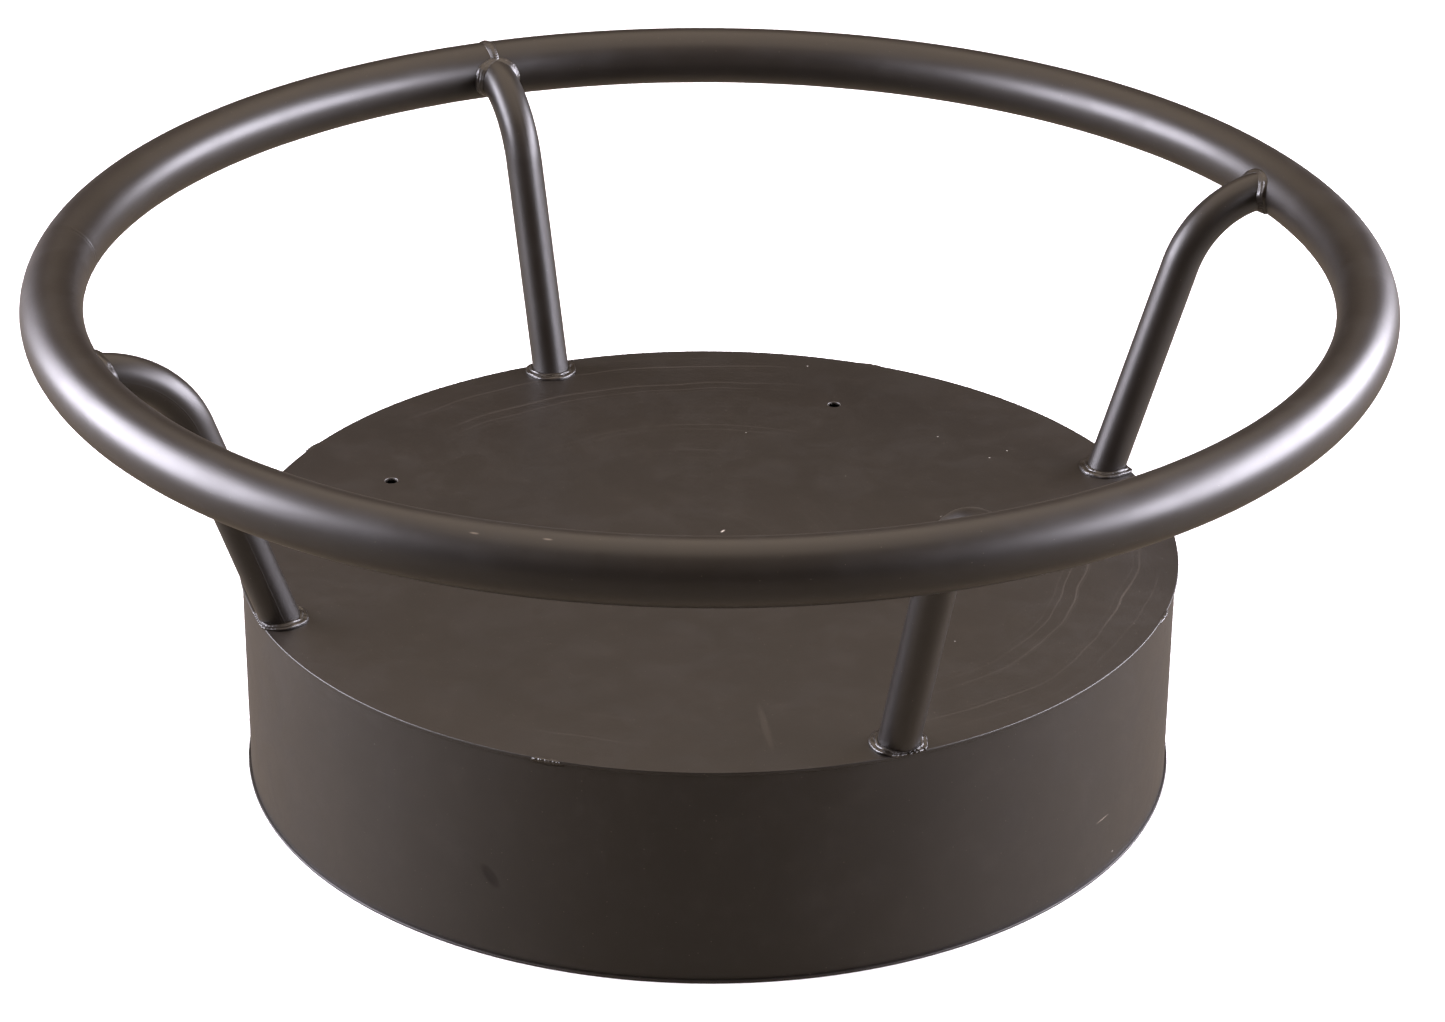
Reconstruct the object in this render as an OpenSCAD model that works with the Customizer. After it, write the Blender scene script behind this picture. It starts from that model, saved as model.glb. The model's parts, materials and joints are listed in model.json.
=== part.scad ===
// Closed steel drum with a raised tube ring, carried on four bent tube posts.
// Everything is welded, so nothing moves. Millimetres, +Z up, the origin is the
// centre of the underside, and the four posts stand on the X and Y axes.

/* [Drum] */
// Diameter of the top plate and of the base plate
plate_d = 770; // [740:2:800]
// Height of the drum, from the floor to the top of the top plate
drum_h = 184; // [150:1:220]
// Thickness of the top plate
top_t = 3; // [2:0.5:5]
// Thickness of the base plate
base_t = 2; // [1.5:0.5:4]
// Thickness of the rolled skirt
skirt_t = 2; // [1:0.5:3]
// How far the two plates stand proud of the skirt
plate_lip = 2; // [1:0.5:4]
// Small bevel along the plates' outer edges
edge_bevel = 0.5; // [0.2:0.1:0.8]

/* [Plate holes] */
// Diameter of the two holes through the top plate
hole_d = 11; // [6:0.5:14]
// Distance of the holes from the drum's axis
hole_r = 291; // [250:1:310]

/* [Ring] */
// Outer diameter of the ring's tube
ring_tube_d = 50; // [44:1:56]
// Diameter of the ring, measured on the tube's centre line
ring_d = 1040; // [1030:1:1050]
// Height of the top of the ring above the floor
overall_h = 444; // [430:1:470]
// Wall thickness of all the tubes
tube_wall = 2; // [1.5:0.5:3]

/* [Posts] */
// Outer diameter of the posts' tube
post_tube_d = 32; // [28:1:34]
// Diameter of the circle on which the posts' feet stand
foot_circle_d = 735; // [715:1:735]
// Outward lean of the straight part of a post, in degrees from vertical
post_lean = 19; // [17:0.5:21]
// Bend radius of a post, on its centre line
bend_r = 85; // [80:1:90]

/* [Welds] */
// Leg of the fillet welds round the feet and heads of the posts
weld_leg = 5; // [4:0.5:6]
// Width of the gap that each butt weld fills
butt_gap = 1.5; // [1:0.5:2]
// Width of the cap of each butt weld
cap_w = 8.5; // [5:0.5:10]
// Height of the cap of each butt weld
cap_h = 1.4; // [0.4:0.1:1.6]
// Length of a tack weld under the edge of the top plate
tack_length = 30; // [15:1:40]
// Length of a stitch weld inside the drum
stitch_length = 40; // [20:1:60]
// Number of stitch welds inside the drum
stitch_count = 8; // [4:1:12]

/* [Hidden] */
$fn = 96;

plate_r = plate_d / 2;
skirt_r = plate_r - plate_lip;
skirt_top = drum_h - top_t;
ring_r = ring_d / 2;
ring_tube_r = ring_tube_d / 2;
ring_z = overall_h - ring_tube_r;
post_tube_r = post_tube_d / 2;
foot_r = foot_circle_d / 2;

// Places round the drum, in degrees from +X towards +Y
right = 0;
back = 90;
left = 180;
front = 270;
hole_angles = [45, 135];
// Tacks lie near the middle of each gap between two posts, placed by hand
tack_angles = [45, 130, 229, 317.5];
seam_angle = 67;

// A post's bend starts so high that its arc becomes level at the ring's centre height
bend_start_z = ring_z - bend_r * (1 - sin(post_lean));
bend_start_x = foot_r + (bend_start_z - drum_h) * tan(post_lean);
bend_centre_x = bend_start_x + bend_r * cos(post_lean);
bend_centre_z = ring_z - bend_r;

// Bending draws the tube in by this much on its radius
bend_draw = 0.05;
// The straight tube runs this far into the bend, so the two join in one solid
bend_overlap = 0.5;

tack_r = 3.6;
// How far a foot weld may run out over the plate's edge
weld_overrun = 2;
// Extra length that makes one solid cut cleanly through another
cut = 10;

paint = "#4b433c";
weld_paint = "#5b534b";

// Degrees that a given length takes up on a circle of radius r
function arc_angle(length, r) = length / r * 180 / PI;

// A disc with a small bevel on both of its outer edges
module bevelled_disc(r, t, bevel) {
  rotate_extrude()
    polygon([
      [0, 0], [r - bevel, 0], [r, bevel], [r, t - bevel], [r - bevel, t], [0, t]
    ]);
}

// A wedge-shaped piece of a turned ring, centred on the angle a
module turned_piece(a, span) {
  rotate([0, 0, a - span / 2])
    rotate_extrude(angle = span)
      children();
}

// The full round bar that the ring's tube fills, enlarged by grow
module ring_bar(grow) {
  translate([0, 0, ring_z])
    rotate_extrude($fn = 180)
      translate([ring_r, 0])
        circle(r = ring_tube_r + grow);
}

// A piece of the ring's tube wall, centred on the angle a
module ring_wall(a, span, outer_r, wall) {
  translate([0, 0, ring_z])
    turned_piece(a, span, $fn = 180)
      translate([ring_r, 0])
        difference() {
          circle(r = outer_r);
          circle(r = outer_r - wall);
        }
}

// The full round bar that a post's tube of radius r fills, in the XZ plane
module post_bar(r) {
  straight = (bend_start_z - drum_h) / cos(post_lean);
  translate([foot_r, 0, drum_h])
    rotate([0, post_lean, 0])
      translate([0, 0, -cut])
        cylinder(r = r, h = straight + cut + bend_overlap);
  bend_bar(r);
}

// The bent end of that bar, from the straight part to level inside the ring
module bend_bar(r) {
  translate([bend_centre_x, 0, bend_centre_z])
    rotate([90, 0, 0])
      rotate([0, 0, 90])
        rotate_extrude(angle = 90 - post_lean)
          translate([bend_r, 0])
            circle(r = r - bend_draw);
}

// Everything above the top plate
module above_plate() {
  translate([-ring_d, -ring_d, drum_h])
    cube([2 * ring_d, 2 * ring_d, overall_h]);
}

module base_plate() {
  color(paint)
    bevelled_disc(plate_r, base_t, edge_bevel);
}

module skirt() {
  gap = arc_angle(butt_gap, skirt_r);
  color(paint)
    turned_piece(seam_angle + 180, 360 - gap)
      translate([skirt_r - skirt_t, base_t])
        square([skirt_t, skirt_top - base_t]);
}

// The upright weld that closes the rolled skirt, with a low cap on its outside
module skirt_seam_weld() {
  inner_r = skirt_r - skirt_t;
  outer_half = butt_gap / 2;
  inner_half = outer_half * inner_r / skirt_r;
  cap_half = cap_w / 2;
  color(weld_paint)
    rotate([0, 0, seam_angle])
      translate([0, 0, base_t])
        linear_extrude(height = skirt_top - base_t)
          polygon([
            [inner_r, -inner_half], [skirt_r, -outer_half], [skirt_r, -cap_half],
            [skirt_r + cap_h, -cap_half / 2], [skirt_r + cap_h, cap_half / 2],
            [skirt_r, cap_half], [skirt_r, outer_half], [inner_r, inner_half]
          ]);
}

// Short fillets in the corner between the skirt and the base plate, inside the drum
module base_stitch_welds() {
  inner_r = skirt_r - skirt_t;
  color(weld_paint)
    for (i = [0 : stitch_count - 1])
      turned_piece(i * 360 / stitch_count, arc_angle(stitch_length, inner_r))
        polygon([
          [inner_r, base_t], [inner_r, base_t + weld_leg], [inner_r - weld_leg, base_t]
        ]);
}

module top_plate() {
  color(paint)
    difference() {
      translate([0, 0, skirt_top])
        bevelled_disc(plate_r, top_t, edge_bevel);
      for (a = hole_angles)
        rotate([0, 0, a])
          translate([hole_r, 0, skirt_top - cut])
            cylinder(d = hole_d, h = top_t + 2 * cut);
    }
}

// A short bead under the lip of the top plate, against the skirt
module tack(a) {
  bead_r = plate_r - 0.5;
  turned_piece(a, arc_angle(tack_length, bead_r))
    difference() {
      translate([bead_r, skirt_top - 0.5])
        circle(r = tack_r);
      square([skirt_r, drum_h]);
      translate([0, skirt_top])
        square([plate_r, 2 * top_t]);
    }
}

module rim_tack_welds() {
  color(weld_paint)
    for (a = tack_angles)
      tack(a);
}

// A post: a tube whose foot is cut level and whose head is shaped to the ring's tube
module post(a) {
  color(paint)
    rotate([0, 0, a])
      difference() {
        intersection() {
          post_bar(post_tube_r);
          above_plate();
        }
        post_bar(post_tube_r - tube_wall);
        ring_bar(0);
      }
}

module post_right() { post(right); }
module post_back() { post(back); }
module post_left() { post(left); }
module post_front() { post(front); }

// The round bead at a post's foot, cut off just past the edge of the plate
module foot_weld(a) {
  color(weld_paint)
    rotate([0, 0, a])
      difference() {
        intersection() {
          translate([foot_r, 0, drum_h])
            rotate_extrude()
              translate([post_tube_r / cos(post_lean), 0])
                circle(r = weld_leg);
          translate([0, 0, drum_h])
            cylinder(r = plate_r + weld_overrun, h = 2 * weld_leg);
        }
        post_bar(post_tube_r);
      }
}

module foot_weld_right() { foot_weld(right); }
module foot_weld_back() { foot_weld(back); }
module foot_weld_left() { foot_weld(left); }
module foot_weld_front() { foot_weld(front); }

// The bead in the corner between a post's head and the ring
module head_weld(a) {
  color(weld_paint)
    rotate([0, 0, a])
      difference() {
        intersection() {
          bend_bar(post_tube_r + weld_leg);
          ring_bar(weld_leg);
        }
        bend_bar(post_tube_r);
        ring_bar(0);
      }
}

module head_weld_right() { head_weld(right); }
module head_weld_back() { head_weld(back); }
module head_weld_left() { head_weld(left); }
module head_weld_front() { head_weld(front); }

// One tube rolled into a circle; its two ends meet over the back post
module ring() {
  color(paint)
    ring_wall(back + 180, 360 - arc_angle(butt_gap, ring_r), ring_tube_r, tube_wall);
}

// The weld that closes the ring: it fills the gap and stands a little proud, except
// on the outermost side, where it is dressed flush
module ring_butt_weld() {
  color(weld_paint)
    union() {
      ring_wall(back, arc_angle(butt_gap, ring_r), ring_tube_r, tube_wall);
      difference() {
        intersection() {
          ring_wall(back, arc_angle(cap_w, ring_r), ring_tube_r + cap_h, cap_h);
          cylinder(r = ring_r + ring_tube_r - cap_h, h = 2 * overall_h);
        }
        rotate([0, 0, back])
          bend_bar(post_tube_r + weld_leg);
      }
    }
}

base_plate();
skirt();
skirt_seam_weld();
base_stitch_welds();
top_plate();
rim_tack_welds();
post_right();
post_back();
post_left();
post_front();
foot_weld_right();
foot_weld_back();
foot_weld_left();
foot_weld_front();
head_weld_right();
head_weld_back();
head_weld_left();
head_weld_front();
ring();
ring_butt_weld();
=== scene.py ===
"""Looks of the welded drum and tube ring: fine meshes for every visible tube, plate
and weld bead, painted-steel materials, studio light and the camera. Metres, +Z up."""
import json
import math

import bmesh
import bpy
import numpy as np
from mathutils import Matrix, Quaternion, Vector


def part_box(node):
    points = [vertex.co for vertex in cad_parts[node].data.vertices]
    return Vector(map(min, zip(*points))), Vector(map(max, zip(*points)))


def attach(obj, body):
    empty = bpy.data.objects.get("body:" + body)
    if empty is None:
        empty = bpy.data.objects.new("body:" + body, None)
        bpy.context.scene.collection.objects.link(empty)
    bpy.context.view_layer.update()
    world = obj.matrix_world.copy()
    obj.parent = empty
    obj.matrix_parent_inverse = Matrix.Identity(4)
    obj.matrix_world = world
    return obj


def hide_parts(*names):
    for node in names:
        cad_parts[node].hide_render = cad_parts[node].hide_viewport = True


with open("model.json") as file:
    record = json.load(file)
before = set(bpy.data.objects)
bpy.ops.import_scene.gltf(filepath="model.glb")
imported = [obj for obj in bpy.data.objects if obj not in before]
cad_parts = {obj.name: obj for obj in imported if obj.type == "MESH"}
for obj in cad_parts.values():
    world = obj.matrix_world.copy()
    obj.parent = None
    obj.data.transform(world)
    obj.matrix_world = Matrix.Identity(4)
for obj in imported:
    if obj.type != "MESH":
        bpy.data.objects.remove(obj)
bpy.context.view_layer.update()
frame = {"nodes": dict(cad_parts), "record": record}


# ---------------------------------------------------------------- dimensions

def corners(node):
    """The lowest and highest corner of a CAD node as arrays."""
    low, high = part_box(node)
    return np.array(low), np.array(high)


def mount(name):
    """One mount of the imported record."""
    return next(m for m in frame["record"]["mounts"] if m["name"] == name)


TURN = 2 * math.pi
MM = 0.001

TOP_LOW, TOP_HIGH = corners("top_plate")
PLATE_R = TOP_HIGH[0]
DRUM_H = TOP_HIGH[2]
SKIRT_TOP = TOP_LOW[2]
BASE_T = corners("base_plate")[1][2]
SKIRT_R = corners("skirt")[1][0]
SKIRT_T = 2 * MM
EDGE_R = 0.7 * MM

HOLES = mount("plate_holes")
HOLE_R = HOLES["dims"]["hole_r_mm"] * MM
HOLE_Y = HOLES["pos_m"][1]
HOLE_XS = [side * HOLES["dims"]["spacing_x_mm"] * MM / 2 for side in (-1, 1)]

RING_LOW, RING_HIGH = corners("ring")
RING_TUBE_R = (RING_HIGH[2] - RING_LOW[2]) / 2
RING_Z = (RING_HIGH[2] + RING_LOW[2]) / 2
RING_R = RING_HIGH[0] - RING_TUBE_R

# A post leans outwards, then bends until it lies level at the ring's centre height
LEAN = math.radians(19)
BEND_R = 85 * MM
POST_LOW, POST_HIGH = corners("post_right")
POST_R = POST_HIGH[1]
FOOT_R = POST_LOW[0] + POST_R / math.cos(LEAN)
BEND_START_Z = RING_Z - BEND_R * (1 - math.sin(LEAN))
STRAIGHT = (BEND_START_Z - DRUM_H) / math.cos(LEAN)
# The angle at which each post stands, in degrees
POSTS = {"right": 0, "back": 90, "left": 180, "front": 270}

# The welds' sizes, and where they stand round the drum, in degrees
WELD_LEG = 5 * MM
TACK_LENGTH = 30 * MM
TACK_ANGLES = [45, 130, 229, 317.5]
SEAM_ANGLE = 67
CAP_W = 8.5 * MM
CAP_H = corners("ring_butt_weld")[1][2] - RING_HIGH[2]

# The crease in the ring, as angles round the ring and round its tube, and the dent in
# the skirt, which slants by so many radians for each metre up
CREASE_ANGLE, CREASE_SIDE = 153.3, 150
DENT_ANGLE, DENT_HEIGHT = 221.7, 70.5 * MM
DENT_SLANT = 2.8125


# ---------------------------------------------------------------- mesh helpers

def grid_piece(name, points, close_rows, close_cols, cap_ends=False):
    """A smooth mesh object over a grid of points, closed either way if asked."""
    rows, cols = points.shape[:2]
    index = np.arange(rows * cols).reshape(rows, cols)
    near = index if close_rows else index[:-1]
    far = np.roll(index, -1, 0) if close_rows else index[1:]
    if close_cols:
        quads = [near, np.roll(near, -1, 1), np.roll(far, -1, 1), far]
    else:
        quads = [near[:, :-1], near[:, 1:], far[:, 1:], far[:, :-1]]
    faces = np.stack(quads, -1).reshape(-1, 4).tolist()
    caps = [index[0].tolist(), index[-1].tolist()] if cap_ends else []
    mesh = bpy.data.meshes.new(name)
    mesh.from_pydata(points.reshape(-1, 3).tolist(), [], faces + caps)
    piece = bpy.data.objects.new(name, mesh)
    bpy.context.scene.collection.objects.link(piece)
    smooth = [True] * len(faces) + [False] * len(caps)
    mesh.polygons.foreach_set("use_smooth", smooth)
    return face_outwards(piece)


def face_outwards(piece):
    """Turns every face of a closed piece outwards."""
    work = bmesh.new()
    work.from_mesh(piece.data)
    bmesh.ops.recalc_face_normals(work, faces=work.faces)
    work.to_mesh(piece.data)
    work.free()
    return piece


def join_into(piece, others):
    """Joins other mesh objects into a piece."""
    work = bmesh.new()
    work.from_mesh(piece.data)
    for other in others:
        work.from_mesh(other.data)
        bpy.data.objects.remove(other)
    work.to_mesh(piece.data)
    work.free()
    return piece


def turned(points, degrees):
    """Points turned about the vertical axis."""
    a = math.radians(degrees)
    c, s = math.cos(a), math.sin(a)
    x, y, z = points[..., 0], points[..., 1], points[..., 2]
    return np.stack([c * x - s * y, s * x + c * y, z], -1)


def unit(vectors):
    """Vectors scaled to length one."""
    return vectors / np.linalg.norm(vectors, axis=-1, keepdims=True)


def lathe(radii, heights, steps):
    """Grid of points for a profile turned about the vertical axis."""
    around = np.linspace(0, TURN, steps, endpoint=False)[:, None]
    radii, heights = np.array(radii), np.array(heights)
    flat = np.zeros_like(around)
    return np.stack([np.cos(around) * radii, np.sin(around) * radii, flat + heights], -1)


def bump_at(values, centre, width):
    """A soft bell that is one at the centre."""
    return np.exp(-((values - centre) / width) ** 2)


def waver(rng, waves, low, high):
    """A smooth random curve over one turn, mostly between -1 and 1, that closes on itself."""
    orders = rng.integers(low, high, waves)
    phases = rng.uniform(0, TURN, waves)
    weights = rng.uniform(0.4, 1.0, waves)
    weights /= math.sqrt((weights ** 2).sum())

    def curve(turns):
        parts = [w * np.sin(o * turns + p) for w, o, p in zip(weights, orders, phases)]
        return sum(parts)
    return curve


# ---------------------------------------------------------------- the ring

def ring_tube():
    """The rolled tube, with its slight unevenness and one small crease on the left."""
    rng = np.random.default_rng(11)
    crease_at, crease_side = math.radians(CREASE_ANGLE), math.radians(CREASE_SIDE)
    base = np.linspace(0, TURN, 900, endpoint=False)
    fine = np.linspace(crease_at - 0.02, crease_at + 0.02, 40)
    turns = np.sort(np.concatenate([base, fine]))[:, None]
    around = np.linspace(0, TURN, 80, endpoint=False)[None, :]
    uneven = waver(rng, 12, 20, 60)(turns) * waver(rng, 3, 1, 4)(around)
    bent_line = crease_at + 0.006 * np.cos(2 * (around - crease_side))
    crease = bump_at(turns, bent_line, 0.0025) - 0.7 * bump_at(turns, bent_line + 0.005, 0.003)
    crease = crease * bump_at(around, crease_side, 0.7)
    tube_r = RING_TUBE_R - 0.08 * MM * (1 + 0.5 * uneven) - 0.35 * MM * crease
    ring_r = RING_R + tube_r * np.cos(around)
    z = RING_Z + tube_r * np.sin(around) + 0 * turns
    points = np.stack([ring_r * np.cos(turns), ring_r * np.sin(turns), z], -1)
    return grid_piece("ring_tube", points, True, True)


def ring_gap(points):
    """How far points are outside the ring's tube."""
    out = np.hypot(points[..., 0], points[..., 1]) - RING_R
    return np.hypot(out, points[..., 2] - RING_Z) - RING_TUBE_R


def onto_ring(points, lift=0.0):
    """Points moved straight onto the ring's surface, or lift above it, and the way out there."""
    flat = unit(points[..., :2])
    centre = np.concatenate([flat * RING_R, np.full(flat.shape[:-1] + (1,), RING_Z)], -1)
    out = unit(points - centre)
    return centre + out * (RING_TUBE_R + lift), out


# ---------------------------------------------------------------- the posts

def post_point(along, around, radius):
    """A point of a post that bends in the XZ plane: so far along it and round its tube."""
    bent = np.maximum(along - STRAIGHT, 0) / BEND_R
    straight = np.minimum(along, STRAIGHT)
    angle = LEAN + bent
    x = FOOT_R + straight * math.sin(LEAN) + BEND_R * (math.cos(LEAN) - np.cos(angle))
    z = DRUM_H + straight * math.cos(LEAN) + BEND_R * (np.sin(angle) - math.sin(LEAN))
    out = radius * np.cos(around)
    return np.stack([x - out * np.cos(angle), radius * np.sin(around), z + out * np.sin(angle)], -1)


def head_end(around):
    """How far along a post each line round its tube runs before it meets the ring."""
    low = np.zeros_like(around)
    high = low + STRAIGHT + BEND_R * (math.pi / 2 - LEAN)
    for _ in range(40):
        middle = (low + high) / 2
        reached = ring_gap(post_point(middle, around, POST_R)) < 0
        low, high = np.where(reached, low, middle), np.where(reached, middle, high)
    return low


def foot_end(around):
    """Where each line of a post leaves the top plate, before or after the centre line does."""
    return -POST_R * np.cos(around) * math.tan(LEAN)


# The side on which each post's own lengthwise seam lies, in degrees round its tube
POST_SEAMS = {"right": 200, "back": 160, "left": 90, "front": 20}


def post_tube(name, seed):
    """One bent tube, its foot cut level and its head shaped to the ring."""
    rng = np.random.default_rng(seed)
    seam = math.radians(POST_SEAMS[name])
    base = np.linspace(0, TURN, 96, endpoint=False)
    fine = seam + np.linspace(-0.06, 0.06, 13)
    around = np.sort(np.concatenate([base, fine % TURN]))[None, :]
    start, end = foot_end(around), head_end(around)
    share = np.linspace(0, 1, 150)[:, None]
    along = start + (end - start) * share
    seam_line = seam + 0.012 * waver(rng, 4, 1, 6)(share * math.pi)
    ridge = bump_at(around, seam_line, 0.02) - 0.6 * bump_at(around, seam_line + 0.05, 0.02)
    # The bend flattens the tube a little on its outside
    flat = bump_at(along, STRAIGHT + BEND_R * 0.55, BEND_R * 0.4) * bump_at(around, 0, 0.9)
    radius = POST_R - 0.05 * MM + 0.1 * MM * ridge - 0.25 * MM * flat
    points = turned(post_point(along, around, radius), POSTS[name])
    return grid_piece("post_tube_" + name, points, False, True, cap_ends=True)


# ---------------------------------------------------------------- weld beads

def ripples(rng, length, sides, pitch):
    """The crescent ripples of a weld bead, one where crests lie, along its length."""
    bend = 0.9 * pitch * sides ** 2
    drift = pitch * 0.8 * np.sin(length / pitch / 3.1 + rng.uniform(0, TURN))
    phase = (length + bend + drift) * TURN / pitch
    return 0.5 + 0.5 * np.cos(phase + 0.6 * np.sin(phase))


# How a bead's surface swells across its width, from the post's side to the plate's or the
# ring's, and for a tack from the skirt's side: (place across from 0 to 1, width, height),
# the heights in metres
FOOT_SWELL = [(0.10, 0.12, 0.40 * MM), (0.36, 0.13, -0.90 * MM), (0.76, 0.20, 0.70 * MM)]
HEAD_SWELL = [(0.10, 0.10, 0.20 * MM), (0.40, 0.14, 0.30 * MM), (0.74, 0.14, 0.55 * MM)]
TACK_SWELL = [(0.45, 0.30, 0.25 * MM)]


def bead(name, corner, toe_a, toe_b, swell, seed, fullness, lump_sizes, closed=True):
    """A bead in the corner of two surfaces. Its edges run along toe_a and toe_b."""
    rng = np.random.default_rng(seed)
    count = len(corner)
    turns = np.linspace(0, TURN, count, endpoint=not closed)[:, None]
    steps = np.linalg.norm(np.diff(corner, axis=0, append=corner[:1]), axis=-1)
    length = np.concatenate([[0], np.cumsum(steps)[:-1]])[:, None]
    across = np.linspace(0, 1, 26)[None, :]
    heart, toe_a, toe_b = corner[:, None], toe_a[:, None], toe_b[:, None]
    outward = (toe_a - heart) + (toe_b - heart)
    fuller = fullness + 0.08 * waver(rng, 6, 2, 12)(turns)[..., None]
    t = across[..., None]
    middle = heart + fuller * outward
    surface = (1 - t) ** 2 * toe_a + 2 * t * (1 - t) * middle + t ** 2 * toe_b
    rise = 0
    for place, width, height in swell:
        drift = place + 0.04 * waver(rng, 5, 2, 11)(turns)
        rise = rise + height * (1 + 0.35 * waver(rng, 6, 2, 14)(turns)) * bump_at(across, drift, width)
    patchy = 0.5 + 0.5 * waver(rng, 5, 1, 6)(turns)
    rise = rise + 0.16 * MM * patchy * ripples(rng, length, 2 * across - 1, 3.1 * MM)
    for size in lump_sizes:
        at, side = rng.uniform(0.2, 6.0), rng.uniform(0.35, 0.85)
        lump = bump_at(turns, at, rng.uniform(0.07, 0.13)) * bump_at(across, side, 0.25)
        rise = rise + size * MM * lump
    fade = np.clip(np.sin(across * math.pi), 0, 1) ** 0.35
    if not closed:
        fade = fade * np.clip(np.sin(turns / 2), 0, 1) ** 0.3
    surface = surface + unit(outward) * (rise * fade)[..., None]
    back = heart - 0.35 * outward
    points = np.concatenate([surface, back], axis=1)
    return grid_piece(name, points, closed, True, cap_ends=not closed)


def near_side(around, side, width):
    """A soft bell round a tube, one on the side given in degrees."""
    apart = (around - math.radians(side) + math.pi) % TURN - math.pi
    return bump_at(apart, 0, width)


def foot_bead(name, seed):
    """The bead round a post's foot. It runs over the plate's edge on the outer side."""
    rng = np.random.default_rng(seed)
    around = np.linspace(0, TURN, 640, endpoint=False)
    outer = near_side(around, 180, 0.75)
    up = WELD_LEG * (0.85 + 0.12 * waver(rng, 7, 2, 9)(around)) * (1 - 0.5 * outer)
    out = WELD_LEG * (1.2 + 0.10 * waver(rng, 7, 2, 9)(around))
    start = foot_end(around)
    corner = post_point(start, around, POST_R)
    toe_a = post_point(start + up, around, POST_R - 0.1 * MM)
    away = corner - np.array([FOOT_R, 0, DRUM_H])
    toe_b = corner + unit(away) * out[:, None]
    toe_b[:, 2] -= 0.1 * MM
    # Metal that passes the plate's edge clings to it and hangs a little below its corner
    over = np.hypot(toe_b[:, 0], toe_b[:, 1]) - PLATE_R
    cling = PLATE_R + 0.5 * MM + 0.5 * MM * waver(rng, 6, 14, 40)(around)
    past = over > 0
    toe_b[past, :2] *= (cling / (PLATE_R + over))[past, None]
    drip = 1.0 * MM * np.clip(over / WELD_LEG, 0, 1) ** 0.5
    toe_b[:, 2] -= np.where(past, drip, 0)
    lines = [turned(p, POSTS[name]) for p in (corner, toe_a, toe_b)]
    return bead("foot_bead_" + name, *lines, FOOT_SWELL, seed + 1, 0.98, (0.6, 0.5, 0.4))


def head_bead(name, seed):
    """The bead in the corner between a post's head and the ring, thin above and wide beside."""
    rng = np.random.default_rng(seed)
    around = np.linspace(0, TURN, 640, endpoint=False)
    above = near_side(around, 0, 0.7)
    down = WELD_LEG * (1.15 + 0.15 * waver(rng, 7, 2, 8)(around)) * (1 - 0.5 * above)
    out = WELD_LEG * (1.05 + 0.12 * waver(rng, 7, 2, 8)(around)) * (1 - 0.62 * above)
    end = head_end(around)
    corner = post_point(end, around, POST_R)
    toe_a = post_point(end - down, around, POST_R - 0.1 * MM)
    ring_out = onto_ring(corner)[1]
    path = unit(np.roll(corner, -1, 0) - np.roll(corner, 1, 0))
    across = unit(np.cross(ring_out, path))
    centre = corner.mean(0)
    across *= np.sign(((corner - centre) * across).sum(-1, keepdims=True))
    toe_b = onto_ring(corner + across * out[:, None], -0.1 * MM)[0]
    lines = [turned(p, POSTS[name]) for p in (corner, toe_a, toe_b)]
    return bead("head_bead_" + name, *lines, HEAD_SWELL, seed + 1, 0.62, (0.5, 0.4))


def butt_bead(seed):
    """The cap of the weld that closes the ring, dressed almost flush on the outermost side."""
    rng = np.random.default_rng(seed)
    around = np.linspace(0, TURN, 720, endpoint=False)[:, None]
    share = np.linspace(-1, 1, 17)[None, :]
    edge = CAP_W / 2 * (1 + 0.12 * waver(rng, 7, 2, 12)(around))
    shift = 0.5 * MM * waver(rng, 5, 2, 7)(around)
    along = (share * edge + shift) / RING_R + math.radians(POSTS["back"])
    height = CAP_H * (0.74 + 0.08 * waver(rng, 6, 3, 12)(around))
    height = height + 0.1 * MM * ripples(rng, around * RING_TUBE_R, share, 2.8 * MM)
    height = height * (1 + 0.7 * near_side(around, 135, 0.7) - 1.12 * near_side(around, 0, 0.5))
    # The right-hand side is steep and the left-hand side runs out gently
    profile = (1 - share ** 2) ** np.where(share < 0, 0.5, 1.4)
    tube_r = RING_TUBE_R - 0.15 * MM + (height + 0.15 * MM) * profile
    inner = np.full_like(tube_r[:, :1], RING_TUBE_R - 1.5 * MM)
    tube_r = np.concatenate([inner, tube_r, inner], 1)
    along = np.concatenate([along[:, :1], along, along[:, -1:]], 1)
    ring_r = RING_R + tube_r * np.cos(around)
    z = RING_Z + tube_r * np.sin(around)
    points = np.stack([ring_r * np.cos(along), ring_r * np.sin(along), z], -1)
    return grid_piece("ring_butt_bead", points, True, True)


def tack_bead(degrees, seed):
    """One short lumpy bead that ties the edge of the top plate to the skirt."""
    span = TACK_LENGTH / PLATE_R
    turns = np.linspace(-span / 2, span / 2, 160)
    size = np.clip(1 - np.abs(turns / span * 2) ** 4, 0, 1) ** 0.5
    heart_r, heart_z = SKIRT_R - 3.4 * MM, DRUM_H - 5.6 * MM

    def line(radius, z):
        """A line along the tack, which draws in to the tack's heart at both ends."""
        radius = heart_r + (radius - heart_r) * size
        z = heart_z + (z - heart_z) * size
        return np.stack([radius * np.cos(turns), radius * np.sin(turns), z], -1)

    corner = line(heart_r, heart_z)
    toe_a = line(SKIRT_R - 0.1 * MM, DRUM_H - 6.5 * MM)
    toe_b = line(PLATE_R - 1.4 * MM, DRUM_H + 0.2 * MM)
    lines = [turned(p, degrees) for p in (corner, toe_a, toe_b)]
    return bead("tack", *lines, TACK_SWELL, seed + 1, 1.35, (0.3, 0.25), closed=False)


def rim_tack_beads():
    """The four tack welds as one piece."""
    tacks = [tack_bead(a, seed=300 + 7 * i) for i, a in enumerate(TACK_ANGLES)]
    tacks[0].name = "rim_tack_beads"
    return join_into(tacks[0], tacks[1:])


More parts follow.
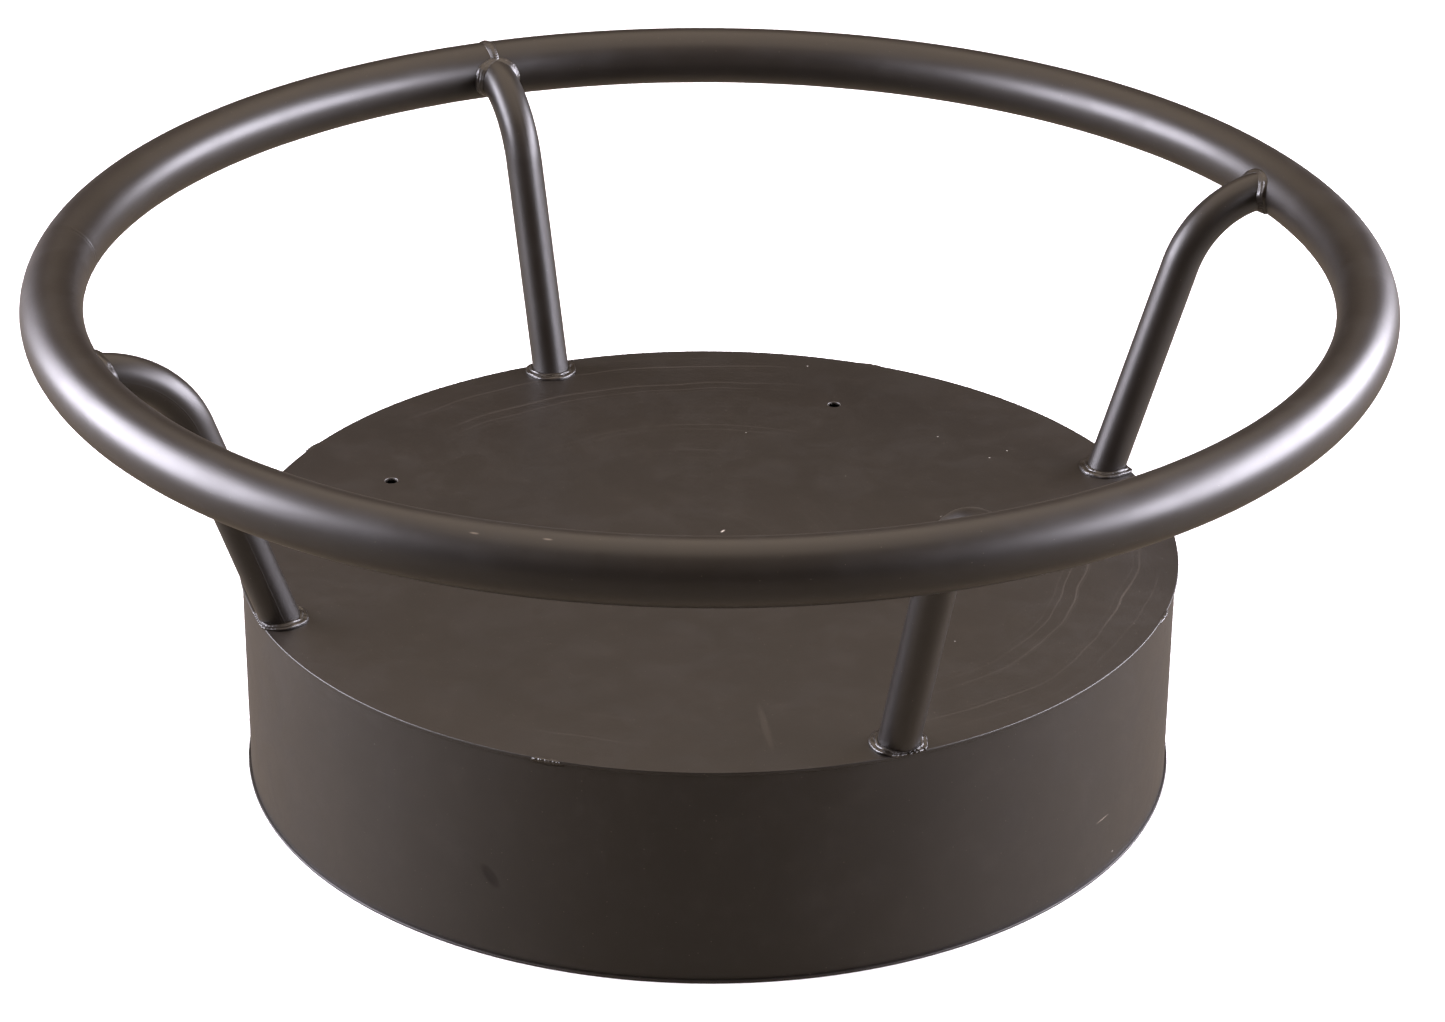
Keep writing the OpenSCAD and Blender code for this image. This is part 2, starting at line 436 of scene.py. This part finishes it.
def seam_bead(seed):
    """The upright weld that closes the skirt, as a low rippled cap."""
    rng = np.random.default_rng(seed)
    height = np.linspace(BASE_T, SKIRT_TOP, 500)[:, None]
    share = np.linspace(-1, 1, 15)[None, :]
    turns = (height - BASE_T) / (SKIRT_TOP - BASE_T) * TURN
    edge = CAP_W / 2 * (1 + 0.12 * waver(rng, 7, 3, 20)(turns))
    across = (share * edge + 0.4 * MM * waver(rng, 5, 2, 9)(turns)) / SKIRT_R
    rise = CAP_H * 0.75 + 0.25 * MM * ripples(rng, height, share, 2.4 * MM)
    radius = SKIRT_R - 0.1 * MM + rise * (1 - share ** 2) ** 0.6
    radius = np.concatenate([radius[:, :1] - MM, radius, radius[:, -1:] - MM], 1)
    across = np.concatenate([across[:, :1], across, across[:, -1:]], 1)
    points = np.stack([radius * np.cos(across), radius * np.sin(across), height + 0 * across], -1)
    points = turned(points, SEAM_ANGLE)
    return grid_piece("skirt_seam_bead", points, False, True, cap_ends=True)


# ---------------------------------------------------------------- the drum

def rounded_edge(radius, low, high, edge, steps=6):
    """Radii and heights of a disc's edge, rounded at both of its corners."""
    quarter = np.linspace(0, math.pi / 2, steps)
    lower_r = radius - edge + edge * np.sin(quarter)
    lower_z = low + edge - edge * np.cos(quarter)
    upper_z = (high + low - lower_z)[::-1]
    return np.concatenate([lower_r, lower_r[::-1]]), np.concatenate([lower_z, upper_z])


def disc(name, low, high):
    """A steel disc with softly rounded edges."""
    radii, heights = rounded_edge(PLATE_R, low, high, EDGE_R)
    profile = lathe(radii, heights, 960).transpose(1, 0, 2)
    return grid_piece(name, profile, False, True, cap_ends=True)


def top_disc():
    """The top plate with its two drilled holes, each with a small chamfer."""
    piece = disc("top_disc", SKIRT_TOP, DRUM_H)
    chamfer = 0.5 * MM
    radii = [HOLE_R, HOLE_R, HOLE_R + chamfer, HOLE_R + chamfer]
    heights = [SKIRT_TOP - MM, DRUM_H - chamfer, DRUM_H, DRUM_H + MM]
    for x in HOLE_XS:
        points = lathe(radii, heights, 64).transpose(1, 0, 2)
        points = points + np.array([x, HOLE_Y, 0])
        cutter = grid_piece("cutter", points, False, True, cap_ends=True)
        cut = piece.modifiers.new("drill", "BOOLEAN")
        cut.object = cutter
        cut.solver = "EXACT"
        bpy.context.view_layer.objects.active = piece
        bpy.ops.object.modifier_apply(modifier=cut.name)
        bpy.data.objects.remove(cutter)
    return piece


def skirt_shell():
    """The rolled skirt, a little uneven, with one shallow dent low on the front left."""
    rng = np.random.default_rng(41)
    turns = np.linspace(0, TURN, 1080, endpoint=False)[:, None]
    heights = np.linspace(BASE_T, SKIRT_TOP, 40)[None, :]
    uneven = waver(rng, 9, 2, 9)(turns) * (0.6 + 0.4 * np.sin(heights / SKIRT_TOP * math.pi))
    dent_at = math.radians(DENT_ANGLE) + DENT_SLANT * (DENT_HEIGHT - heights)
    dent = bump_at(turns, dent_at, 0.011) * bump_at(heights, DENT_HEIGHT, 9 * MM)
    outer = SKIRT_R - 0.15 * MM * (1 + 0.5 * uneven) - 0.5 * MM * dent
    inner = np.full_like(outer, SKIRT_R - SKIRT_T)
    radius = np.concatenate([outer, inner[:, ::-1]], 1)
    z = np.concatenate([heights, heights[:, ::-1]], 1) + 0 * turns
    points = np.stack([radius * np.cos(turns), radius * np.sin(turns), z], -1)
    piece = grid_piece("skirt_shell", points, True, True)
    piece.data.set_sharp_from_angle(angle=math.radians(40))
    return piece


# ---------------------------------------------------------------- materials

class Nodes:
    """Small helper that builds one material's node tree."""

    def __init__(self, name):
        self.material = bpy.data.materials.new(name)
        self.material.use_nodes = True
        self.tree = self.material.node_tree
        self.shader = self.tree.nodes["Principled BSDF"]
        coordinates = self.add("ShaderNodeTexCoord")
        self.place = coordinates.outputs["Object"]

    def add(self, kind, **values):
        node = self.tree.nodes.new(kind)
        for key, value in values.items():
            setattr(node, key, value)
        return node

    def join(self, output, socket):
        self.tree.links.new(output, socket)

    def value(self, socket, source):
        """Sets a socket to a number, or links it to an output."""
        if isinstance(source, bpy.types.NodeSocket):
            self.join(source, socket)
        else:
            socket.default_value = source

    def noise(self, scale, detail=3, rough=0.55, distort=0.0):
        node = self.add("ShaderNodeTexNoise")
        self.join(self.place, node.inputs["Vector"])
        node.inputs["Scale"].default_value = scale
        node.inputs["Detail"].default_value = detail
        node.inputs["Roughness"].default_value = rough
        node.inputs["Distortion"].default_value = distort
        return node.outputs["Fac"]

    def specks(self, scale, size, share):
        """Round specks in a share of the cells of a grid, one at their centres."""
        cells = self.add("ShaderNodeTexVoronoi")
        self.join(self.place, cells.inputs["Vector"])
        cells.inputs["Scale"].default_value = scale
        near = self.ramp(cells.outputs["Distance"], size, size * 0.5)
        split = self.add("ShaderNodeSeparateColor")
        self.join(cells.outputs["Color"], split.inputs["Color"])
        chosen = self.math("LESS_THAN", split.outputs["Red"], share)
        return self.times(near, chosen)

    def math(self, operation, a, b):
        node = self.add("ShaderNodeMath", operation=operation)
        self.value(node.inputs[0], a)
        self.value(node.inputs[1], b)
        return node.outputs[0]

    def times(self, a, b):
        return self.math("MULTIPLY", a, b)

    def plus(self, a, b):
        return self.math("ADD", a, b)

    def ramp(self, source, low, high, to_low=0.0, to_high=1.0):
        """Maps low..high smoothly to to_low..to_high."""
        node = self.add("ShaderNodeMapRange", interpolation_type="SMOOTHSTEP")
        self.value(node.inputs["Value"], source)
        flip = low > high
        node.inputs["From Min"].default_value = high if flip else low
        node.inputs["From Max"].default_value = low if flip else high
        node.inputs["To Min"].default_value = to_high if flip else to_low
        node.inputs["To Max"].default_value = to_low if flip else to_high
        return node.outputs["Result"]

    def blend(self, share, a, b):
        """A colour between a and b."""
        node = self.add("ShaderNodeMix", data_type="RGBA")
        self.value(node.inputs["Factor"], share)
        first, second = [socket for socket in node.inputs if socket.type == "RGBA"]
        self.value(first, a)
        self.value(second, b)
        return next(socket for socket in node.outputs if socket.type == "RGBA")

    def bump(self, height, distance, strength, normal=None):
        node = self.add("ShaderNodeBump")
        node.inputs["Strength"].default_value = strength
        node.inputs["Distance"].default_value = distance
        self.join(height, node.inputs["Height"])
        if normal:
            self.join(normal, node.inputs["Normal"])
        return node.outputs["Normal"]

    def vector(self, operation, a, b):
        """A vector operation on two vectors, which may be outputs or numbers."""
        node = self.add("ShaderNodeVectorMath", operation=operation)
        self.value(node.inputs[0], a)
        self.value(node.inputs[1], b)
        return node.outputs["Value" if operation == "DOT_PRODUCT" else "Vector"]

    def length(self, a):
        node = self.add("ShaderNodeVectorMath", operation="LENGTH")
        self.join(a, node.inputs[0])
        return node.outputs["Value"]

    def streak(self, middle, way, length, width):
        """A soft mark at a point: an oval that is long in one direction."""
        way = Vector(way).normalized()
        offset = self.vector("SUBTRACT", self.place, tuple(middle))
        along = self.times(self.vector("DOT_PRODUCT", offset, way), 1 - width / length)
        shift = self.add("ShaderNodeVectorMath", operation="SCALE")
        shift.inputs[0].default_value = way
        self.join(along, shift.inputs["Scale"])
        squashed = self.vector("SUBTRACT", offset, shift.outputs[0])
        return self.ramp(self.length(squashed), width / 2, width / 6)

    def finish(self, colour, roughness, normal, shine):
        self.join(colour, self.shader.inputs["Base Color"])
        self.join(roughness, self.shader.inputs["Roughness"])
        self.join(normal, self.shader.inputs["Normal"])
        self.value(self.shader.inputs["Specular IOR Level"], shine)
        return self.material


# Colours of the paint and of what lies on it, and how strongly the paint shines
DARK = (0.0062, 0.0043, 0.0027, 1)
BROWN = (0.0090, 0.0063, 0.0040, 1)
DUSTY = (0.17, 0.14, 0.11, 1)
SOOT = (0.0015, 0.0012, 0.0010, 1)
BARE_STEEL = (0.42, 0.38, 0.33, 1)
LINT = (0.55, 0.52, 0.47, 1)
SPATTER = (0.16, 0.13, 0.10, 1)
PAINT_SHINE = 0.5
WELD_SHINE = 0.6
WELD_IOR = 1.56

# Each scuff on the ring: its angle round the ring and round the tube, in degrees
SCUFFS = ((229.6, 63), (235.2, 69))
# The drum's marks: angles round it in degrees, heights and radii in metres
SCRATCH_ANGLE, SCRATCH_HEIGHT = 301.7, 50.6 * MM
STREAK_ANGLE, STREAK_RADIUS = 255, 318 * MM
LINT_AT = (17 * MM, 11 * MM, DRUM_H)


def polar(degrees, radius, height):
    """The point at an angle round the drum's axis."""
    angle = math.radians(degrees)
    return Vector((radius * math.cos(angle), radius * math.sin(angle), height))


def tangent(degrees, rise=0.0):
    """The way round the drum's axis at an angle, with some rise."""
    return Vector((*polar(degrees + 90, 1, 0).xy, rise))


def tube_scuff(n, degrees, side):
    """A short pale scuff on the ring, at an angle round the ring and one round its tube."""
    side = math.radians(side)
    middle = polar(degrees, RING_R + RING_TUBE_R * math.cos(side), 0)
    middle.z = RING_Z + RING_TUBE_R * math.sin(side)
    return n.streak(middle, tangent(degrees), 9 * MM, 2.2 * MM)


def paint(name, mottle, dust, smooth):
    """Satin dark bronze paint with cloudy patches, fine grain and settled dust."""
    n = Nodes(name)
    clouds = n.noise(5.5, 4, 0.6)
    grain = n.noise(900, 2, 0.5)
    peel = n.noise(160, 3, 0.5)
    patch = n.ramp(n.noise(23, 5, 0.65, distort=0.6), 0.35, 0.75)
    colour = n.blend(n.ramp(clouds, 0.3, 0.72, 0.0, mottle), DARK, BROWN)
    film = n.times(n.ramp(n.noise(38, 6, 0.7), 0.45, 0.8), dust)
    colour = n.blend(film, colour, DUSTY)
    fine = n.times(n.specks(330, 0.16, 0.05), 0.35)
    colour = n.blend(fine, colour, DUSTY)
    rough = n.plus(n.ramp(patch, 0, 1, smooth, smooth + 0.05), n.times(grain, 0.06))
    normal = n.bump(peel, 0.05 * MM, 0.35)
    normal = n.bump(grain, 0.02 * MM, 0.4, normal)
    return n, colour, rough, normal


def tube_paint():
    """Paint of the tubes, with two scuffs on the ring."""
    n, colour, rough, normal = paint("bronze_paint_on_tube", mottle=0.6, dust=0.01, smooth=0.36)
    for degrees, side in SCUFFS:
        scuff = n.times(tube_scuff(n, degrees, side), 0.5)
        colour = n.blend(scuff, colour, DUSTY)
    return n.finish(colour, rough, normal, PAINT_SHINE)


def smudge_on_skirt(n):
    """A dark, dull rub on the skirt, over its shallow dent."""
    middle = polar(DENT_ANGLE, SKIRT_R, DENT_HEIGHT)
    return n.streak(middle, tangent(DENT_ANGLE, -1.3), 30 * MM, 14 * MM)


def plate_marks(n, colour):
    """The drum's own marks: paler hole rims, a smudge, a scratch, a faint streak and lint."""
    for x in HOLE_XS:
        away = n.vector("SUBTRACT", n.place, (x, HOLE_Y, DRUM_H))
        rim = n.ramp(n.length(away), HOLE_R + 0.8 * MM, HOLE_R + 0.4 * MM)
        colour = n.blend(n.times(rim, 0.06), colour, BARE_STEEL)
    colour = n.blend(n.times(smudge_on_skirt(n), 0.4), colour, SOOT)
    at_scratch = polar(SCRATCH_ANGLE, SKIRT_R, SCRATCH_HEIGHT)
    scratch = n.streak(at_scratch, tangent(SCRATCH_ANGLE, 0.02), 26 * MM, 2 * MM)
    colour = n.blend(n.times(scratch, 0.45), colour, DUSTY)
    at_streak = polar(STREAK_ANGLE, STREAK_RADIUS, DRUM_H)
    streak = n.streak(at_streak, polar(STREAK_ANGLE, 1, 0), 90 * MM, 8 * MM)
    colour = n.blend(n.times(streak, 0.05), colour, DUSTY)
    lint = n.streak(LINT_AT, (1, 0.6, 0), 7 * MM, 2.4 * MM)
    return n.blend(n.times(lint, 0.9), colour, BARE_STEEL)


def plate_paint():
    """Paint of the drum's plates: more handled, with curved rub marks and lint."""
    n, colour, rough, normal = paint("bronze_paint_on_plate", mottle=0.6, dust=0.02, smooth=0.40)
    # Rub marks follow circles about the plate's middle, broken up by patches
    radius = n.length(n.vector("MULTIPLY", n.place, (1, 1, 0)))
    wobble = n.times(n.noise(7, 2), 0.03)
    circle = n.plus(radius, wobble)
    lines = n.add("ShaderNodeTexNoise", noise_dimensions="1D")
    n.join(n.times(circle, 220), lines.inputs["W"])
    lines.inputs["Scale"].default_value = 1.0
    lines.inputs["Detail"].default_value = 4
    arcs = n.ramp(lines.outputs["Fac"], 0.6, 0.78)
    where = n.ramp(n.noise(3.2, 3, 0.5), 0.5, 0.7)
    rubbed = n.times(n.times(arcs, where), 0.10)
    colour = n.blend(rubbed, colour, DUSTY)
    lint = n.times(n.specks(46, 0.045, 0.14), 0.5)
    colour = n.blend(lint, colour, LINT)
    rough = n.plus(rough, n.times(rubbed, 0.8))
    colour = plate_marks(n, colour)
    shine = n.ramp(smudge_on_skirt(n), 0, 1, PAINT_SHINE, 0.72 * PAINT_SHINE)
    waves = n.noise(5, 1, 0.4)
    normal = n.bump(waves, 0.6 * MM, 0.15, normal)
    return n.finish(colour, rough, normal, shine)


def weld_paint():
    """Thicker, glossier paint run over the beads, with fine spatter."""
    n = Nodes("bronze_paint_on_weld")
    clouds = n.noise(60, 4, 0.6)
    grit = n.noise(700, 3, 0.6)
    colour = n.blend(n.ramp(clouds, 0.35, 0.7), DARK, BROWN)
    spatter = n.ramp(n.noise(260, 3, 0.7), 0.62, 0.78, 0.0, 0.5)
    colour = n.blend(spatter, colour, SPATTER)
    rough = n.ramp(n.noise(120, 3), 0.3, 0.7, 0.30, 0.44)
    normal = n.bump(grit, 0.15 * MM, 0.4)
    n.shader.inputs["IOR"].default_value = WELD_IOR
    return n.finish(colour, rough, normal, WELD_SHINE)


# ---------------------------------------------------------------- the object

def dress(piece, material, slot, *nodes):
    """Gives a piece its material and body, and hides the CAD nodes that it stands for. The slot is not
    used.
    """
    piece.data.materials.clear()
    piece.data.materials.append(material)
    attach(piece, "root")
    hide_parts(*nodes)


def build_object():
    """Every visible piece of the object. The stitch welds inside keep their CAD shape."""
    on_tube, on_plate, on_weld = tube_paint(), plate_paint(), weld_paint()
    dress(ring_tube(), on_tube, "tube_paint", "ring")
    dress(butt_bead(seed=71), on_weld, "weld_paint", "ring_butt_weld")
    for i, name in enumerate(POSTS):
        dress(post_tube(name, seed=500 + i), on_tube, "tube_paint", "post_" + name)
        dress(foot_bead(name, seed=101 + 10 * i), on_weld, "weld_paint", "foot_weld_" + name)
        dress(head_bead(name, seed=201 + 10 * i), on_weld, "weld_paint", "head_weld_" + name)
    dress(top_disc(), on_plate, "plate_paint", "top_plate")
    dress(disc("base_disc", 0, BASE_T), on_plate, "plate_paint", "base_plate")
    dress(skirt_shell(), on_plate, "plate_paint", "skirt")
    dress(rim_tack_beads(), on_weld, "weld_paint", "rim_tack_welds")
    dress(seam_bead(seed=81), on_weld, "weld_paint", "skirt_seam_weld")
    inside = frame["nodes"]["base_stitch_welds"]
    for place in inside.material_slots:
        place.material = on_weld


# ---------------------------------------------------------------- studio

# The camera stands in front of the object, a little to its left, and looks down at it
VIEW_AZIMUTH = math.radians(66.98)
VIEW_DOWN = 0.4557
VIEW_ROLL = 0.0067
CAMERA_AZIMUTH = math.radians(-112.81)
CAMERA_DISTANCE = 3.0006
CAMERA_HEIGHT = 1.6813
LENS = 101.47
# The point that every softbox faces
LIT_POINT = (0, 0, 0.25)


def camera():
    """The camera, placed and turned by the values above, with angles in radians."""
    data = bpy.data.cameras.new("camera")
    data.sensor_width = 36
    data.lens = LENS
    data.clip_end = 100
    eye = bpy.data.objects.new("camera", data)
    bpy.context.scene.collection.objects.link(eye)
    eye.location = (
        CAMERA_DISTANCE * math.cos(CAMERA_AZIMUTH),
        CAMERA_DISTANCE * math.sin(CAMERA_AZIMUTH),
        CAMERA_HEIGHT,
    )
    level = math.cos(VIEW_DOWN)
    look = Vector((
        level * math.cos(VIEW_AZIMUTH), level * math.sin(VIEW_AZIMUTH), -math.sin(VIEW_DOWN)
    ))
    turn = look.to_track_quat("-Z", "Y") @ Quaternion((0, 0, 1), VIEW_ROLL)
    eye.rotation_euler = turn.to_euler()
    bpy.context.scene.camera = eye


def softbox(name, side, ahead, height, size, power, colour):
    """An area light placed to the side of the view and ahead of the object, in metres."""
    data = bpy.data.lights.new(name, "AREA")
    data.shape = "RECTANGLE"
    data.size, data.size_y = size
    data.energy = power
    data.color = colour
    lamp = bpy.data.objects.new(name, data)
    bpy.context.scene.collection.objects.link(lamp)
    right = Vector((math.sin(VIEW_AZIMUTH), -math.cos(VIEW_AZIMUTH), 0))
    away = Vector((math.cos(VIEW_AZIMUTH), math.sin(VIEW_AZIMUTH), 0))
    lamp.location = right * side + away * ahead + Vector((0, 0, height))
    way = Vector(LIT_POINT) - lamp.location
    lamp.rotation_euler = way.to_track_quat("-Z", "Y").to_euler()


def floor():
    """A pale floor that curves up far behind the object."""
    reach, rise = 14.0, 6.0
    across = np.linspace(-reach, reach, 9)
    curve = np.linspace(0, math.pi / 2, 12)
    ahead = np.concatenate([[-reach], reach - rise + rise * np.sin(curve)])
    up = np.concatenate([[0], rise - rise * np.cos(curve)])
    points = np.zeros((len(ahead), len(across), 3))
    points[..., 0] = across[None, :]
    points[..., 1] = ahead[:, None]
    points[..., 2] = up[:, None] - 0.2 * MM
    points = turned(points, math.degrees(VIEW_AZIMUTH) - 90)
    piece = grid_piece("floor", points, False, False)
    n = Nodes("pale_floor")
    tint = n.blend(n.noise(0.7, 2), (0.86, 0.86, 0.86, 1), (0.90, 0.90, 0.895, 1))
    n.join(tint, n.shader.inputs["Base Color"])
    n.shader.inputs["Roughness"].default_value = 0.9
    n.shader.inputs["Specular IOR Level"].default_value = 0.1
    piece.data.materials.append(n.material)
    piece.visible_glossy = False


def studio():
    """The floor, a softbox on each side and one overhead, and the room."""
    floor()
    cool, warm = (0.91, 0.88, 1.0), (1.0, 0.82, 0.66)
    softbox("left_softbox", side=-2.4, ahead=0.15, height=1.2, size=(2.2, 1.5), power=260, colour=cool)
    softbox("right_softbox", side=2.35, ahead=0.25, height=1.18, size=(3.2, 1.2), power=300, colour=cool)
    softbox("top_softbox", side=0, ahead=0.7, height=2.7, size=(2.6, 3.6), power=45, colour=warm)
    surroundings()
    bpy.context.scene.view_settings.view_transform = "Standard"


def surroundings():
    """A warm room, dim at eye level and paler below and overhead, with lit side walls."""
    world = bpy.data.worlds.new("studio")
    world.use_nodes = True
    tree = world.node_tree
    place = tree.nodes.new("ShaderNodeTexCoord")

    def shaded(direction, stops):
        """Colours the room along a direction. Each stop is a cosine to it and a colour."""
        along = tree.nodes.new("ShaderNodeVectorMath")
        along.operation = "DOT_PRODUCT"
        along.inputs[1].default_value = direction
        share = tree.nodes.new("ShaderNodeMapRange")
        share.inputs["From Min"].default_value = -1
        ramp = tree.nodes.new("ShaderNodeValToRGB")
        marks = ramp.color_ramp.elements
        while len(marks) < len(stops):
            marks.new(0.5)
        for mark, (cosine, colour) in zip(marks, stops):
            mark.position = (cosine + 1) / 2
            mark.color = (*colour, 1)
        tree.links.new(place.outputs["Generated"], along.inputs[0])
        tree.links.new(along.outputs["Value"], share.inputs["Value"])
        tree.links.new(share.outputs["Result"], ramp.inputs["Fac"])
        return ramp.outputs["Color"]

    right = (math.sin(VIEW_AZIMUTH), -math.cos(VIEW_AZIMUTH), 0)
    black, wall = (0, 0, 0), (0.70, 0.65, 0.66)
    low, level, high = (0.46, 0.355, 0.265), (0.095, 0.069, 0.050), (0.38, 0.295, 0.225)
    sides = shaded(right, [(-1, wall), (-0.5, black), (0.5, black), (1, wall)])
    heights = shaded((0, 0, 1), [(-0.3, low), (0.05, level), (0.4, level), (0.6, high)])
    both = tree.nodes.new("ShaderNodeVectorMath")
    both.operation = "ADD"
    tree.links.new(sides, both.inputs[0])
    tree.links.new(heights, both.inputs[1])
    tree.links.new(both.outputs["Vector"], tree.nodes["Background"].inputs["Color"])
    bpy.context.scene.world = world


build_object()
studio()
camera()
